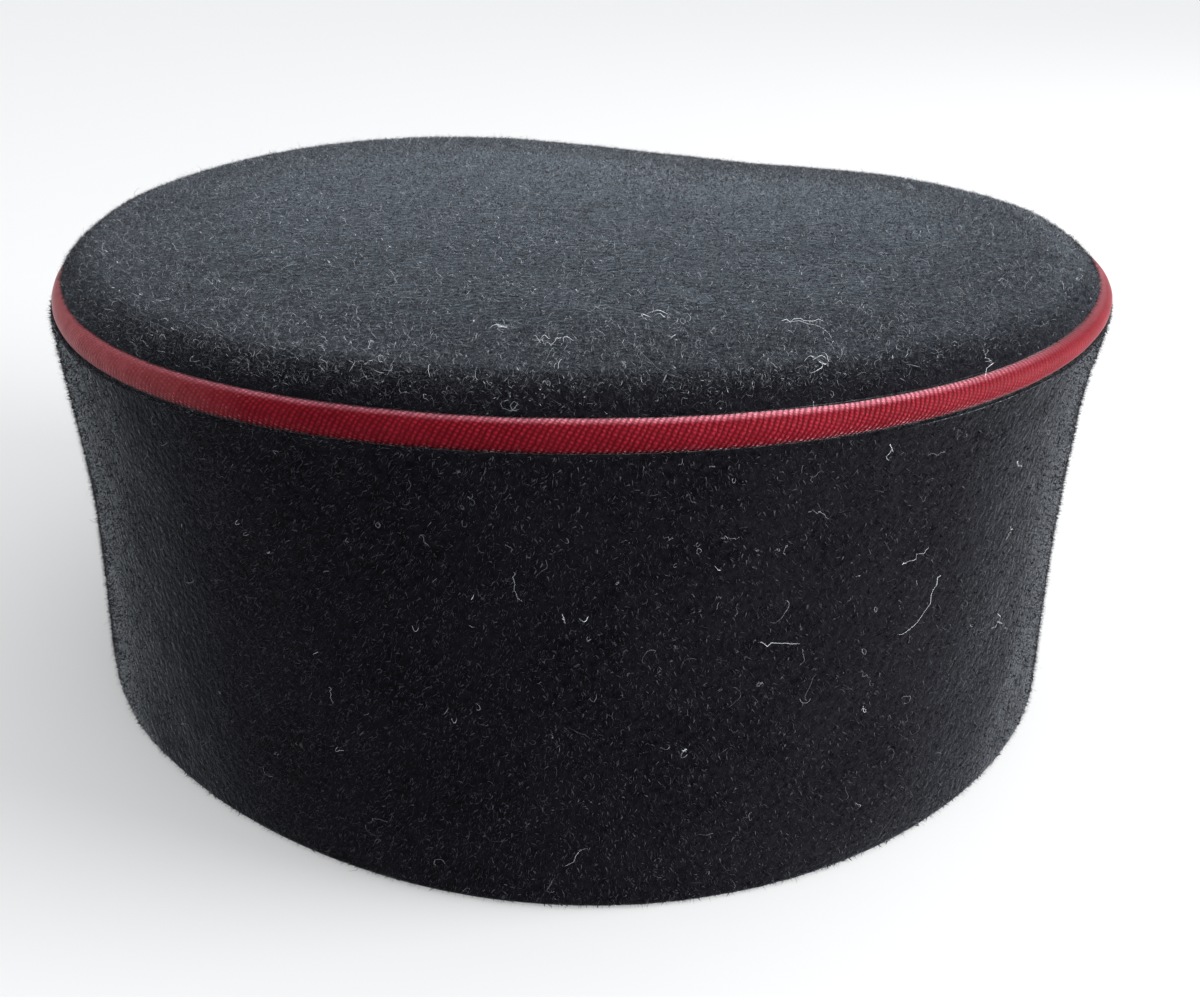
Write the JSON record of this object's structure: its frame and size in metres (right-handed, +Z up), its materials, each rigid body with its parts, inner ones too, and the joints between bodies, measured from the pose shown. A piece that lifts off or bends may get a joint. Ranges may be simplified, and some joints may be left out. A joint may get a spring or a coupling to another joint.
{
  "type": "kullu cap",
  "caption": "Round pillbox cap of black wool felt: a flat crown with a rolled rim on an upright side wall, with a red twill piping in the seam between them; worn on the head.",
  "frame": {"origin": "on the surface that the hem rests on, under the middle of the cap's box", "axes": "+Z up through the crown, front of the cap towards -Y, +X to the right seen from the front"},
  "size_m": [0.193, 0.188, 0.0862],
  "materials": {
    "felt": "black wool felt with a short nap, matt, with a soft grey sheen at grazing angles",
    "piping_twill": "dark red bias-cut twill over a round cord, fine slanting ribs, slightly lustrous"
  },
  "bodies": {
    "root": {"side_wall": "felt", "piping": "piping_twill", "crown": "felt"}
  },
  "joints": []
}
